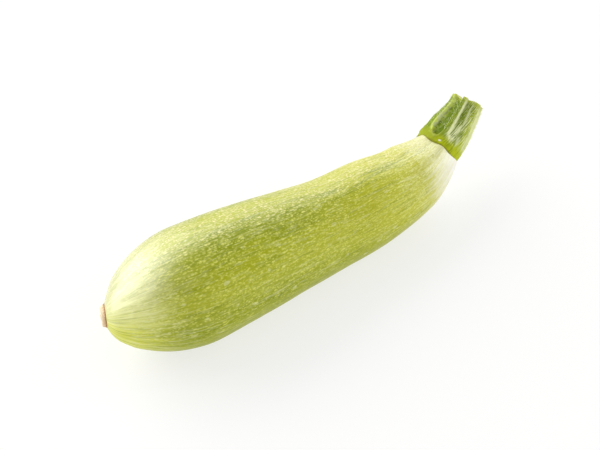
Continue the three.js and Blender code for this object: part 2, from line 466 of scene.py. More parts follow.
class Sweep:
    """A Geometry Nodes tree that sweeps a grid round the axis."""

    def __init__(self, name, rings, sides, inputs):
        self.ids, chain_in, self.size = open_tree(name, inputs)
        self.curve = chain_in.node("GeometryNodeMeshToCurve", {}, {0: chain_in})
        counts = {"Size X": 1.0, "Size Y": 1.0, "Vertices X": rings, "Vertices Y": sides}
        self.grid = chain_in.node("GeometryNodeMeshGrid", {}, counts)
        x, y, _ = chain_in.node("GeometryNodeInputPosition").parts()
        self.along = x + 0.5
        self.turn = (y + 0.5) * math.tau

    def follow(self, share):
        """Goes to that share of the axis's length, and gives the reach there."""
        reach = share.node("GeometryNodeInputNamedAttribute", {"data_type": "FLOAT"}, {0: "reach"})
        read = share.node(
            "GeometryNodeSampleCurve",
            {"mode": "FACTOR", "data_type": "FLOAT", "use_all_curves": True},
            {"Curves": self.curve, "Value": reach, "Factor": share},
        )
        self.spot, self.ahead = read.other("Position"), read.other("Tangent")
        across = read.vector("CROSS_PRODUCT", UPWARDS, self.ahead)
        self.side = across.vector("NORMALIZE", across)
        self.up = across.vector("CROSS_PRODUCT", self.ahead, self.side)
        return read

    def around(self, radius, lift):
        """The place that far out from the axis, and that far on along it."""
        place = self.spot
        steps = (
            (self.side, cosine(self.turn) * radius),
            (self.up, sine(self.turn) * radius),
            (self.ahead, lift),
        )
        for way, distance in steps:
            place = place.vector("ADD", place, way.scaled(distance))
        return place

    def straightened(self, reach, radius):
        """The place on a courgette whose axis has been pulled straight."""
        return join(reach, cosine(self.turn) * radius, sine(self.turn) * radius)

    def grow(self, name, place, kept, skin, **values):
        """Moves the grid's vertices, closes its seam and ends, and grows the piece."""
        shape = self.grid
        for label, value in kept.items():
            shape = shape.node(
                "GeometryNodeStoreNamedAttribute",
                {"data_type": "FLOAT_VECTOR", "domain": "POINT"},
                {"Geometry": shape, "Name": label, "Value": value},
            )
        shape = shape.node("GeometryNodeSetPosition", {}, {"Geometry": shape, "Position": place})
        seam = {"Geometry": shape, "Distance": SEAM_GAP}
        shape = shape.node("GeometryNodeMergeByDistance", {}, seam)
        shape = shape.node("GeometryNodeSetShadeSmooth", {}, {0: shape})
        return grow(name, axis, close_tree(shape, skin.material), self.ids, values)


# %% [markdown]
# ## The camera
#
# The courgette lies below the eye, its flower end near and to the left. A long lens
# from well back keeps its proportions true.

# %% Place the camera
CAMERA_AZIMUTH = math.radians(-35.4)
CAMERA_ELEVATION = math.radians(46)
CAMERA_DISTANCE = 742 * MM
CAMERA_TARGET = Vector((-1.4, 3.4, 19.9)) * MM
LENS, SENSOR_WIDTH = 120, 36

flat = math.cos(CAMERA_ELEVATION)
back = Vector(
    (
        math.sin(CAMERA_AZIMUTH) * flat,
        -math.cos(CAMERA_AZIMUTH) * flat,
        math.sin(CAMERA_ELEVATION),
    )
)
camera = bpy.data.objects.new("camera", bpy.data.cameras.new("camera"))
camera.data.lens = LENS
camera.data.sensor_width = SENSOR_WIDTH
camera.location = CAMERA_TARGET + back * CAMERA_DISTANCE
camera.rotation_euler = back.to_track_quat("Z", "Y").to_euler()
bpy.context.scene.collection.objects.link(camera)
bpy.context.scene.camera = camera
print("camera at", in_mm(camera.location), "mm")

# %% [markdown]
# ## Materials: shared tools
#
# Each skin starts from the Principled shader. What is the same all over, such as how
# sharply the wax reflects, is set on the shader itself. What varies comes from formulas
# on the two attributes. Colours are laid on as a painter does it, one thin coat over
# another, and each coat has a mask that says how much of it stays.


# %% Shader helpers
MIX_FIRST, MIX_SECOND, MIX_RESULT = 6, 7, 2  # the Mix node's sockets for colours


class Skin:
    """A material, and the few readings that its formulas start from."""

    def __init__(self, name, **fixed):
        self.material = bpy.data.materials.new(name)
        self.material.use_nodes = True
        self.tree = self.material.node_tree
        self.shader = self.tree.nodes["Principled BSDF"]
        for label, value in fixed.items():
            self.shader.inputs[label.replace("_", " ")].default_value = value
        blank = Wire(self.tree, self.shader.outputs[0])
        self.grown = blank.node("ShaderNodeAttribute", {"attribute_name": "grown"}, {}, "Vector")
        self.mark = blank.node("ShaderNodeAttribute", {"attribute_name": "mark"}, {}, "Vector")
        self.reach, self.across, self.height = self.grown.parts()
        self.turn = self.height.maths("ARCTAN2", self.height, self.across)

    def wound(self, radius, twist):
        """The place on a straight pipe whose lines wind round it by that much a metre."""
        turn = self.turn - self.reach * twist
        return join(self.reach, cosine(turn) * radius, sine(turn) * radius)

    def on_pipe(self, radius):
        """The straightened place moved onto a straight pipe. A line drawn along the pipe
        runs together with its neighbours where the piece itself grows thin."""
        widening = radius / (self.across * self.across + self.height * self.height) ** 0.5
        return join(self.reach, self.across * widening, self.height * widening)

    def mix(self, share, first, second):
        """A blend of two colours, each a wire or three numbers."""
        values = {0: share}
        for place, paint in ((MIX_FIRST, first), (MIX_SECOND, second)):
            values[place] = paint if isinstance(paint, Wire) else (*paint, 1.0)
        settings = {"data_type": "RGBA", "clamp_factor": True}
        return self.grown.node("ShaderNodeMix", settings, values, MIX_RESULT)

    def coats(self, tone, *layers):
        """Lays coats over a tone. Each is how much of it stays, and its colour."""
        for share, paint in layers:
            tone = self.mix(share, tone, paint)
        return tone

    def bump(self, height, depth, under=None):
        values = {"Strength": 1.0, "Distance": depth, "Height": height}
        if under is not None:
            values["Normal"] = under
        return height.node("ShaderNodeBump", {}, values)

    def connect(self, **wires):
        for label, wire in wires.items():
            self.tree.links.new(wire.socket, self.shader.inputs[label.replace("_", " ")])
        print(self.material.name, "has", len(self.tree.nodes), "nodes")


def colour(red, green, blue):
    """A screen colour, each part from 0 to 255, as the linear light it stands for."""

    def linear(value):
        value /= 255
        return value / 12.92 if value <= 0.04045 else ((value + 0.055) / 1.055) ** 2.4

    return (linear(red), linear(green), linear(blue))


# %% [markdown]
# ## The fruit's skin: its greens
#
# Pale courgettes are yellow-green. The skin is deeper between the ribs and yellower
# towards the neck, and its low side is painted darker, as painted shade. A dark line of
# crowded streaks follows the ridge on top, and a paler belt runs along the near side. A
# picture wrapped round the fruit would smear at both ends, so all of this is worked out
# from where a point is on the straightened courgette: how far along, and how far round.

# %% The ground coats
skin = Skin(
    "courgette_skin",
    Specular_IOR_Level=0.12,
    Coat_Roughness=0.25,
    Coat_IOR=1.6,
    Subsurface_Weight=0.1,
    Subsurface_Scale=4 * MM,
    Subsurface_Radius=(1.0, 0.9, 0.35),
)
DEEP_GREEN = colour(140, 152, 0)
SOFT_GREEN = colour(172, 178, 10)
NECK_GREEN = colour(192, 193, 44)
LINE_GREEN = colour(112, 132, 2)
FLECK = colour(234, 236, 112)
RIDGE_TURN, BELT_TURN, LOW_TURN = 94, 155, 225
LINE_WAVER, RIDGE_SHARPNESS = 0.4, 60.0

pipe = skin.on_pipe(20 * MM)
from_stem = FRUIT_LENGTH - skin.reach
# Painted shade: the low side is painted darker, and its flecks greener.
low_shade = smooth(0.5, 1.0, toward(skin.turn, LOW_TURN))
belt = smooth(0.93, 1.0, toward(skin.turn, BELT_TURN))
ridge = bell((toward(skin.turn, RIDGE_TURN) - 1.0) * RIDGE_SHARPNESS)
drift = noise(spread(skin.grown, 30 * MM, 9 * MM), 3.0) * 3.0 - 1.5
rib_tint = cosine((skin.turn - RIB_ANGLE) * RIBS + drift)
lines = noise(spread(pipe, 16 * MM, 0.9 * MM), distortion=LINE_WAVER)
tone = skin.coats(
    DEEP_GREEN,
    (smooth(-1.6, 1.0, drift - rib_tint), SOFT_GREEN),
    (fade(10 * MM, 96 * MM, from_stem), NECK_GREEN),
    (low_shade * 0.6, DEEP_GREEN),
    (belt * 0.14, FLECK),
    (smooth(0.54, 0.68, lines) * 0.4, LINE_GREEN),
    (smooth(0.44, 0.6, lines) * ridge * 0.55, LINE_GREEN),
)
print("ground coats:", len(skin.tree.nodes), "nodes so far")

# %% [markdown]
# ## The fruit's skin: its ends
#
# Both ends are paler than the middle. The flower end goes from yellow to cream; the cream
# on its lit top is partly a painted highlight, and a paler patch on its near cheek is a
# painted highlight. The shoulder goes yellow and then nearly white under the stem, and its
# lit top is painted less pale, as painted shade against the strong light there. Neither
# ends in a clean ring, so the distance from the end is made ragged by streaky noise first.

# %% The pale ends
TIP_YELLOW = colour(242, 244, 96)
TIP_CREAM = colour(200, 204, 144)
TIP_HIGHLIGHT = colour(246, 248, 184)
SHOULDER_YELLOW = colour(230, 226, 134)
SHOULDER_CREAM = colour(254, 252, 242)
LIT_TURN, HIGHLIGHT_TURN = 68, 130

# The side that the key light faces. The flower end is painted creamier there, partly a painted
# highlight, and the shoulder less pale, as painted shade against the strong light.
lit_side = smooth(-0.3, 0.9, toward(skin.turn, LIT_TURN))
# A painted highlight on the flower end's near cheek.
cheek_highlight = smooth(0.7, 1.0, toward(skin.turn, HIGHLIGHT_TURN))
ragged = (noise(spread(pipe, 14 * MM, 1.3 * MM)) - 0.5) * (20 * MM)
tip_reach = skin.reach + ragged - lit_side * (6 * MM)
neck_reach = from_stem + ragged
tone = skin.coats(
    tone,
    (fade(0.0, 24 * MM, tip_reach) * 0.85, skin.mix(lit_side, TIP_YELLOW, TIP_CREAM)),
    (cheek_highlight * fade(3 * MM, 20 * MM, tip_reach) * 0.45, TIP_HIGHLIGHT),
    (fade(4 * MM, 32 * MM, neck_reach) * (0.8 - lit_side * 0.6), SHOULDER_YELLOW),
)
cream = fade(0.0, 20 * MM, neck_reach) * (0.95 - lit_side * 0.75)
print("pale ends:", len(skin.tree.nodes), "nodes so far")

# %% [markdown]
# ## The fruit's skin: its flecks
#
# A fine rain of pale flecks covers the fruit, each half a millimetre or so and a little
# longer than wide, and the larger ones are boldest in rows. Long pale threads run
# between them, clearest at both ends. Painting them one by one would take thousands of
# shapes. Cell noise has one point near each fleck, so the distance to the nearest point
# draws them all. Each cell's own random colour makes its fleck bold or faint.


# %% The flecks
FLECK_WOBBLE = 0.7  # how far noise shakes the cells, so that flecks aren't round


def scatter(place, along, around, size, faintest):
    """Scattered flecks about that far apart, as shares from 0 to 1. A size of 0.5
    covers about four tenths, and some flecks are bold and others faint."""
    spot = spread(place, along, around)
    wobble = noise(spot, 1.0).other("Color").scaled(FLECK_WOBBLE)
    shaken = {"Vector": spot.vector("ADD", spot, wobble), "Scale": 1.0}
    distance = spot.node("ShaderNodeTexVoronoi", {"voronoi_dimensions": "3D"}, shaken)
    luck = distance.node("ShaderNodeSeparateColor", {}, {0: distance.other("Color")})
    rim = (luck * 0.5 + 0.75) * size
    return fade(rim * 0.55, rim, distance) * (luck.other("Green") * (1.0 - faintest) + faintest)


PALE_FLECK = colour(246, 247, 188)
CREAM_FLECK = colour(246, 233, 196)
FAR_TOP_TURN = 60

near_tip = fade(4 * MM, 28 * MM, skin.reach)
near_ends = 1.0 - (1.0 - near_tip) * smooth(4 * MM, 40 * MM, from_stem)
at_ends = near_ends * 0.4 + 0.2
# Flecks are creamier on the far top side.
far_top_side = smooth(0.6, 1.0, toward(skin.turn, FAR_TOP_TURN))
fleck_tone = skin.coats(
    FLECK,
    (near_ends * 0.7, PALE_FLECK),
    (far_top_side * 0.75, CREAM_FLECK),
    # Painted shade: flecks on the low side are painted greener.
    (low_shade * 0.75, SOFT_GREEN),
)
rows = smooth(0.38, 0.58, noise(spread(pipe, 18 * MM, 0.8 * MM), 1.0))
fine = scatter(pipe, 1.05 * MM, 0.62 * MM, size=0.46, faintest=0.3)
flecks = scatter(pipe, 1.8 * MM, 0.85 * MM, size=0.44, faintest=0.2) * (rows * 0.6 + 0.4)
dashes = scatter(pipe, 4.5 * MM, 0.7 * MM, size=0.44, faintest=0.1)
blots = scatter(pipe, 6.0 * MM, 3.6 * MM, size=0.2, faintest=0.0)
streaks = noise(spread(pipe, 5 * MM, 0.5 * MM), distortion=0.5)
threads = noise(spread(pipe, 13 * MM, 0.7 * MM), distortion=LINE_WAVER)
tone = skin.coats(
    tone,
    (smooth(0.48, 0.7, streaks) * 0.25, fleck_tone),
    (fine * 0.66, fleck_tone),
    (flecks * 0.82, fleck_tone),
    (dashes * at_ends, PALE_FLECK),
    (smooth(0.55, 0.7, threads) * at_ends, PALE_FLECK),
    (fade(0.32, 0.45, threads) * near_tip * 0.3, LINE_GREEN),
    (blots * 0.4, PALE_FLECK),
    (cream, SHOULDER_CREAM),
)
print("flecks:", len(skin.tree.nodes), "nodes so far")

# %% [markdown]
# ## The fruit's skin: its wax
#
# A thin wax makes the skin shine. It is thickest on top of the flower end and round the
# shoulder, thin and patchy along the top, and rubbed off below. The shader's coat is such a
# second, clear surface, so its weight follows the wax. The flecks stand up a little
# from the skin and the skin itself ripples, which breaks the shine up.

# %% The wax and the relief
BLOOM_TURN, WAX_TURN = 70, 82
FLECK_RELIEF, RIPPLE_RELIEF = 0.05 * MM, 0.22 * MM

grain = noise(spread(skin.grown, 0.5 * MM, 0.35 * MM))
ripple = noise(spread(skin.grown, 7 * MM, 2.2 * MM))
bloom = smooth(-0.5, 0.3, toward(skin.turn, BLOOM_TURN)) * (ripple * 0.12 + 0.15)
waxed = smooth(0.5, 0.85, toward(skin.turn, WAX_TURN))
tip_wax = fade(14 * MM, 44 * MM, skin.reach) * waxed
shoulder_wax = fade(2 * MM, 26 * MM, from_stem)
relief = skin.bump(flecks * 0.6 + grain * 0.25 + threads * 0.5, FLECK_RELIEF)
skin.connect(
    Base_Color=tone,
    Roughness=0.36 + grain * 0.1 + flecks * 0.06,
    Coat_Weight=0.02 + bloom + tip_wax * 0.72 + shoulder_wax * 0.35,
    Normal=skin.bump(ripple, RIPPLE_RELIEF, relief),
)

# %% [markdown]
# ## Growing the fruit
#
# The rule of the fruit is its radius. On top of it come five faint ribs, which fade out
# towards the flower end. On the shoulder they give way to six lobes, one under each rib
# of the stem. The near cheek of the flower end is a little fuller and the low side of
# the shoulder a little slimmer, because no fruit grows quite round. Lumps and puckers
# keep it from looking turned on a lathe.


# %% The fruit's radius
def rib_wave(turn, count, angle):
    """1 on a rib and -1 between two, for that many ribs with one at that angle."""
    return cosine((turn - angle) * count)


SKIN_SHARE = 0.975  # the rest of the grid closes the seat under the stem
LOBES_START = 82 * MM
PUCKERS, PUCKER_HEIGHT = 17.0, 0.07 * MM
SLIM_TURN, SLIM_REACH, SLIM_SPREAD, SLIMMING = 215, FRUIT_LENGTH - 9 * MM, 9 * MM, 0.7 * MM
FULL_TURN, FULL_REACH, FULL_SPREAD, FULLNESS = 195, 5 * MM, 4.5 * MM, 1.2 * MM

fruit = Sweep("grow fruit", 330, 271, ["from_share", "to_share", *vars(fruit_size)])
# The cosine crowds the rings at both ends, where the fruit curves most.
even = 0.5 - cosine(share_of(0.0, SKIN_SHARE, fruit.along) * math.pi) * 0.5
reach = fruit.follow(between(fruit.size.from_share, fruit.size.to_share, even))
plain_radius = fruit_radius(reach, fruit.size)
straight = fruit.straightened(reach, plain_radius)

ribs = rib_wave(fruit.turn, RIBS, RIB_ANGLE) * fruit.size.rib_relief
lobes = rib_wave(fruit.turn, STEM_RIBS, STEM_RIB_ANGLE)
relief = between(ribs, lobes * fruit.size.shoulder_relief, smooth(LOBES_START, FRUIT_LENGTH, reach))
relief = relief * smooth(0.0, FLOWER_DOME / 2, reach)
slimmer = smooth(0.3, 1.0, toward(fruit.turn, SLIM_TURN)) * SLIMMING
slimmer = slimmer * bell((SLIM_REACH - reach) / SLIM_SPREAD)
fuller = smooth(0.2, 1.0, toward(fruit.turn, FULL_TURN)) * FULLNESS
fuller = fuller * bell((reach - FULL_REACH) / FULL_SPREAD) * smooth(0.0, 3 * MM, reach)
uneven = lumps(straight, 26 * MM) * (0.35 * MM)
puckers = cosine(fruit.turn * PUCKERS + lumps(straight, 9 * MM) * 3.0) * PUCKER_HEIGHT
puckers = puckers * smooth(2 * MM, 6 * MM, reach) * fade(8 * MM, 20 * MM, reach)
radius = plain_radius * (1.0 + relief) - slimmer + fuller
radius = radius + (uneven + puckers) * smooth(0.0, 8 * MM, reach)
print("the shoulder's lobes start", in_mm([FRUIT_LENGTH - LOBES_START]), "mm from the stem")

# %% [markdown]
# The last rings of the grid close the seat under the stem, a little sunk so that they
# never show. Below the table's height the skin is pressed flat.

# %% Close the seat and grow the fruit
LOBE_LIFT, SEAT_SUNK = 0.22 * MM, 0.8 * MM

closing = share_of(SKIN_SHARE, 1.0, fruit.along)
radius = radius * (1.0 - closing)
lift = lobes * LOBE_LIFT * smooth(FRUIT_LENGTH - 5 * MM, FRUIT_LENGTH, reach)
lift = lift * (1.0 - closing) - SEAT_SUNK * smooth(0.0, 1.0, closing)
lift = lift + nose_shift(fruit.turn, radius, reach)
x, y, z = fruit.around(radius, lift).parts()
place = join(x, y, z.maths("MAXIMUM", z, 0.0))

fruit_piece = fruit.grow(
    "fruit_skin",
    place,
    {"grown": straight},
    skin,
    from_share=axis_share(0.0),
    to_share=axis_share(FRUIT_LENGTH),
    **vars(fruit_size),
)
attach(fruit_piece, "root")
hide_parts("fruit")

# %% [markdown]
# ## The stem's skin: its greens and fibres
#
# The stem is tougher and greener than the fruit. Its far top is darker and greener, and
# its near side lighter and yellower: partly the stem's own greens, and partly painted
# shade and light that follow how the light falls on it. The grooves between its six ribs
# are darker still, and fine fibres, pale and dark, wind a little on their way up. The
# three masks in mark say how deep in a groove a point is, how close it is to a rib's
# edge, and whether it is on the cut. The fibres are noise on a pipe whose lines wind
# round it, so they keep one width from foot to cut.

# %% The stem's greens and fibres
stem_skin = Skin("stem_skin", Specular_IOR_Level=0.12)
in_groove, on_edge, on_cut = stem_skin.mark.parts()

LEAF_GREEN = colour(140, 158, 22)
DULL_LEAF = colour(122, 143, 16)
LIGHT_SIDE_GREEN = colour(204, 214, 76)
DULL_LIGHT_SIDE = colour(186, 198, 58)
GROOVE_GREEN = colour(108, 132, 8)
LIGHT_SIDE_GROOVE = colour(136, 154, 40)
SHADE_GREEN = colour(104, 128, 10)
FIBRE_GREEN = colour(170, 190, 84)
EDGE_PALE = colour(236, 241, 184)
DARK_SIDE_TURN, DARK_FOOT_TURN, HATCHED_TURN = 62, 45, 134
FIBRE_PIPE, FIBRE_TWIST = 8 * MM, math.radians(1.4) / MM

climb = stem_skin.reach - FRUIT_LENGTH


def stripe(degrees, width, winding=0.0):
    """A stripe up the stem, from that turn at its foot, with its half width and how
    much it winds in a millimetre, all in degrees."""
    middle = climb * (math.radians(winding) / MM) + math.radians(degrees)
    return bell((stem_skin.turn - middle) / math.radians(width))


# Partly painted shade and light: the far top is painted darker and greener, the near side lighter
# and yellower.
dark_side = smooth(0.3, 0.9, toward(stem_skin.turn, DARK_SIDE_TURN))
# The foot's far side is painted darker too: partly painted shade.
dark_foot_side = smooth(0.3, 0.9, toward(stem_skin.turn, DARK_FOOT_TURN))
hatched = stripe(HATCHED_TURN, width=24)
fibres = noise(spread(stem_skin.wound(FIBRE_PIPE, FIBRE_TWIST), 4.5 * MM, 0.4 * MM))
coarse = noise(spread(stem_skin.grown, 6 * MM, 1.4 * MM))
mottle = noise(spread(stem_skin.grown, 1.6 * MM, 0.9 * MM), 3.0)
dull = smooth(0.35, 0.68, coarse)
light_side_tone = stem_skin.mix(dull, LIGHT_SIDE_GREEN, DULL_LIGHT_SIDE)
groove_tone = stem_skin.mix(dark_side, LIGHT_SIDE_GROOVE, GROOVE_GREEN)
hatch = smooth(0.53, 0.6, fibres) * (0.6 - dark_side * 0.2 + hatched * 0.35)
tone = stem_skin.coats(
    light_side_tone,
    (dark_side, stem_skin.mix(dull, LEAF_GREEN, DULL_LEAF)),
    # Painted shade on the foot's far side.
    (dark_foot_side * 0.5, SHADE_GREEN),
    (in_groove * 0.9, groove_tone),
    (hatched * 0.5, groove_tone),
    (hatch * smooth(2 * MM, 9 * MM, climb), stem_skin.mix(dark_side, EDGE_PALE, FIBRE_GREEN)),
    (fade(0.38, 0.46, fibres) * (0.35 + hatched * 0.65), SHADE_GREEN),
    (smooth(0.54, 0.72, mottle) * in_groove * 0.15, EDGE_PALE),
)
print("greens and fibres:", len(stem_skin.tree.nodes), "nodes so far")

# %% [markdown]
# ## The stem's skin: its marks
#
# The ribs have pale edges, partly painted highlights, and a pale strip up the near side,
# from a little above the foot, is painted light. A pale patch and a thin pale line are
# partly painted highlights, and a bright green line is painted light on a groove's wall
# that lies in shade. Its foot is yellow with faint dark streaks, darker and greener on its
# far side, partly as painted shade, and has a thin brown crease where it meets the fruit
# and one small white nick. Each mark is a bell or a soft step of its distance, so its
# edge stays soft.

# %% The stem's marks
LIT_STRIP_PALE = colour(234, 238, 172)
LIT_WALL_GREEN = colour(212, 228, 98)
FOOT_GREEN = colour(150, 162, 2)
FOOT_YELLOW = colour(184, 196, 4)
NICK_WHITE = colour(246, 244, 214)
CREASE_BROWN = colour(124, 120, 14)
CUT_YELLOW = colour(196, 206, 76)
CUT_PALE = colour(210, 216, 132)
LIT_STRIP_TURN, THIN_HIGHLIGHT_TURN, LIT_WALL_TURN = 196, 147.7, 72
PATCH_HEIGHT, PATCH_TURN, PATCH_SPREAD = 6.4 * MM, 123, 3.6 * MM
NICK_HEIGHT, NICK_TURN, NICK_SIZE = 1.5 * MM, 105, 0.55 * MM
NICK_PIPE = 6.5 * MM
FIBRE_RELIEF, MOTTLE_RELIEF = 0.14 * MM, 0.12 * MM

# Painted light: a pale strip up the near side, from a little above the foot.
lit_strip = smooth(0.75, 0.97, toward(stem_skin.turn, LIT_STRIP_TURN)) * smooth(0.0, 11 * MM, climb)
# Partly painted highlights: a pale patch and a thin pale line.
highlight_patch = stripe(PATCH_TURN, width=11) * bell((climb - PATCH_HEIGHT) / PATCH_SPREAD)
thin_highlight = stripe(THIN_HIGHLIGHT_TURN, width=3.5, winding=-0.9) * smooth(0.4, 0.5, coarse)
# Painted light on a groove's wall that lies in shade.
lit_wall_line = stripe(LIT_WALL_TURN, width=6, winding=-0.5) * smooth(0.36, 0.56, mottle)
foot = fade(1.6 * MM, 5.6 * MM, climb + (coarse - 0.5) * (4 * MM))
foot_streaks = foot * fade(0.36, 0.54, fibres) * (1.0 - dark_foot_side * 0.8)
nick_aside = (stem_skin.turn - math.radians(NICK_TURN)) * NICK_PIPE
nick_up = climb - NICK_HEIGHT
nick_distance = (nick_aside * nick_aside + nick_up * nick_up) ** 0.5
nick_distance = nick_distance + (mottle - 0.5) * (0.6 * MM)
crease = fade(0.1 * MM, 0.7 * MM, climb + (mottle - 0.5) * (0.7 * MM))
near_cut = smooth(STEM_LENGTH - 2.0 * MM, STEM_LENGTH - 0.3 * MM, climb)
tone = stem_skin.coats(
    tone,
    (lit_strip * 0.95, LIT_STRIP_PALE),
    # The ribs' pale edges and the pocket's pale lip are partly painted highlights.
    (on_edge * (0.8 + coarse * 0.6 - dark_foot_side * 0.6), EDGE_PALE),
    (highlight_patch * smooth(0.38, 0.48, fibres) * 1.5, EDGE_PALE),
    (thin_highlight * 0.8, EDGE_PALE),
    (lit_wall_line * 0.9, LIT_WALL_GREEN),
    # The foot is painted greener on its far side: partly painted shade.
    (foot * 0.92, stem_skin.mix(dark_foot_side, FOOT_YELLOW, FOOT_GREEN)),
    (foot_streaks * 0.6, SHADE_GREEN),
    (fade(0.5 * NICK_SIZE, NICK_SIZE, nick_distance), NICK_WHITE),
    (crease * 0.65, CREASE_BROWN),
    (near_cut * 0.6, CUT_YELLOW),
    (on_cut, CUT_PALE),
)
stem_skin.connect(
    Base_Color=tone,
    Roughness=0.58 + coarse * 0.12,
    Normal=stem_skin.bump(mottle, MOTTLE_RELIEF, stem_skin.bump(fibres, FIBRE_RELIEF)),
)

# %% [markdown]
# ## Growing the stem: its wall
#
# The stem is the same sweep with another rule: six broad ribs that twist a little on
# the way up, and between them grooves that start in a rounded pocket a little above
# the foot. No real stem is regular, so the turn is warped a little before the ribs
# are worked out. The near side is plainer and a little pinched in.

# %% The stem's ribs and grooves
stem_size = SimpleNamespace(
    base_radius=9.6 * MM,
    top_radius=7.1 * MM,
    groove=1.6 * MM,
    edge=0.2 * MM,
    skirt=2.6 * MM,
)
STEM_TWIST = math.radians(12)
CROWDING = math.radians(16)  # how far some ribs have been pushed round
CROWDED_FROM = (math.radians(85), math.radians(120))
CROWDED_TO = (math.radians(200), math.radians(330))
WALL_START, WALL_END = 0.06, 0.84  # shares of the grid, between the seat and the cut
EDGE_PHASE = 1.25  # how far an edge lies from the middle of its rib, in the rib's wave
PLAIN_TURN, LIP_SPREAD = 165, 0.7 * MM

stem = Sweep("grow stem", 190, 241, ["from_share", "to_share", *vars(stem_size)])
climbing = share_of(WALL_START, WALL_END, stem.along)
reach = stem.follow(between(stem.size.from_share, stem.size.to_share, climbing))
height = reach - FRUIT_LENGTH
twisted = stem.turn + height * (STEM_TWIST / STEM_LENGTH)
crowded = smooth(*CROWDED_FROM, twisted) * fade(*CROWDED_TO, twisted)
rib_phase = (twisted - STEM_RIB_ANGLE + crowded * CROWDING) * STEM_RIBS
wave = cosine(rib_phase)
near_side = toward(stem.turn, PLAIN_TURN)
low_in_groove = fade(-1.0, 0.5, wave)
pocket_start = stem.size.skirt + (1.0 - low_in_groove) * (3.0 * MM)
groove_share = fade(-0.5, 0.6, wave) * smooth(0.0, 1.5 * MM, height - pocket_start)
edge_share = smooth(0.82, 1.0, cosine(rib_phase - EDGE_PHASE))
edge_share = edge_share * smooth(1 * MM, 4 * MM, height - stem.size.skirt)
lip_share = bell((height - pocket_start + 0.3 * MM) / LIP_SPREAD) * low_in_groove
lip_share = lip_share * fade(0.5, 0.95, near_side)
print("the stem twists", round(math.degrees(STEM_TWIST)), "degrees on its way up")

# %% The stem's radius
FINE_RIBS, FINE_RIB_HEIGHT, LIP_HEIGHT = 7.0, 0.06 * MM, 0.2 * MM
PINCH_TURN, PINCH, FOOT_PINCH, CUT_PINCH = 196, 0.7 * MM, 0.5 * MM, 0.5 * MM
HEEL_TURN, HEEL_HEIGHT, HEEL_SPREAD, HEEL = 30, 10 * MM, 6.5 * MM, 0.9 * MM

narrowing = smooth(0.1 * STEM_LENGTH, 0.95 * STEM_LENGTH, height)
wall = between(stem.size.base_radius, stem.size.top_radius, narrowing)
straight = stem.straightened(reach, wall)
plain_side = smooth(0.2, 0.9, near_side)
wall = wall - groove_share * stem.size.groove * (1.0 - plain_side * 0.55)
wall = wall + edge_share * stem.size.edge
pinch = fade(0.0, 12 * MM, height) * FOOT_PINCH + PINCH
pinch = pinch + smooth(17 * MM, STEM_LENGTH, height) * CUT_PINCH
wall = wall - pinch * smooth(0.3, 1.0, toward(stem.turn, PINCH_TURN))
heel = bell((height - HEEL_HEIGHT) / HEEL_SPREAD) * HEEL * smooth(0.0, 4 * MM, height)
wall = wall + heel * smooth(0.4, 1.0, toward(stem.turn, HEEL_TURN))
fine_ribs = cosine(rib_phase * FINE_RIBS) * FINE_RIB_HEIGHT * smooth(2 * MM, 6 * MM, height)
wall = wall + lip_share * LIP_HEIGHT + fine_ribs
wall = wall + lumps(straight, 5 * MM, 3.0) * (0.3 * MM)
print("fine ribs on each broad one:", round(FINE_RIBS))

# %% [markdown]
# ## Growing the stem: its cut
#
# A knife took the stem off, a little askew, and its pith has sunk as it dried. The last
# part of the grid rounds over the wall's top edge and runs in to the middle. The first
# part closes the foot, out of sight, where the stem sits on the fruit.

# %% Close the cut and grow the stem
ROUNDING = 0.12  # the share of the cut's part of the grid that goes into its edge
EDGE_ROUND, EDGE_RISE, PITH_SUNK = 0.35 * MM, 0.2 * MM, 0.9 * MM
ASKEW_TURN, ASKEW, NOTCH, FOOT_SUNK = 185, 0.5 * MM, 0.9 * MM, 0.6 * MM
PALE_LIP_TURN = 72
FOOT_OVERLAP = 0.3 * MM

over_cut = share_of(WALL_END, 1.0, stem.along)
over_foot = share_of(0.0, WALL_START, stem.along)
inward = share_of(ROUNDING, 1.0, over_cut)
over_edge = smooth(0.0, ROUNDING, over_cut)
radius = wall * (1.0 - inward) - EDGE_ROUND * over_edge * (1.0 - inward)
radius = radius * over_foot
rough_cut = lumps(straight, 2.2 * MM, 3.0) * (0.25 * MM) * smooth(0.0, 0.2, over_cut)
sunk = EDGE_RISE * over_edge - PITH_SUNK * smooth(0.35, 0.75, inward) + rough_cut
lobes = rib_wave(stem.turn, STEM_RIBS, STEM_RIB_ANGLE) * LOBE_LIFT
lobes = lobes * fade(0.0, 6 * MM, height)
askew = smooth(0.0, STEM_LENGTH, height) * toward(stem.turn, ASKEW_TURN) * ASKEW
notch = smooth(0.7 * STEM_LENGTH, STEM_LENGTH, height) * groove_share * NOTCH
askew = (askew - notch * (1.0 - plain_side)) * (1.0 - inward)
place = stem.around(radius, sunk + lobes + askew - FOOT_SUNK * (1.0 - over_foot))
# A pale lip round the pocket, partly a painted highlight; it goes into mark with the ribs' edges.
pale_lip_highlight = lip_share * smooth(0.75, 0.98, toward(stem.turn, PALE_LIP_TURN))
cut_face = smooth(0.3 * ROUNDING, ROUNDING, over_cut)
mark = join(groove_share, edge_share + pale_lip_highlight, cut_face)

stem_piece = stem.grow(
    "stem_wall",
    place,
    {"grown": straight, "mark": mark},
    stem_skin,
    from_share=axis_share(FRUIT_LENGTH - FOOT_OVERLAP),
    to_share=axis_share(FRUIT_LENGTH + STEM_LENGTH),
    **vars(stem_size),
)
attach(stem_piece, "root")
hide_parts("stem")

# %% [markdown]
# ## The bristles
#
# A courgette's stem is prickly. One bristle is a thin cone with three sides. Points are
# scattered over the wall of the stem, denser towards the cut and none on the cut
# itself, and a copy of the cone stands on each, leaning towards the cut and a little at
# random. Hair curves would be quicker to place, but a plain mesh can be exported.

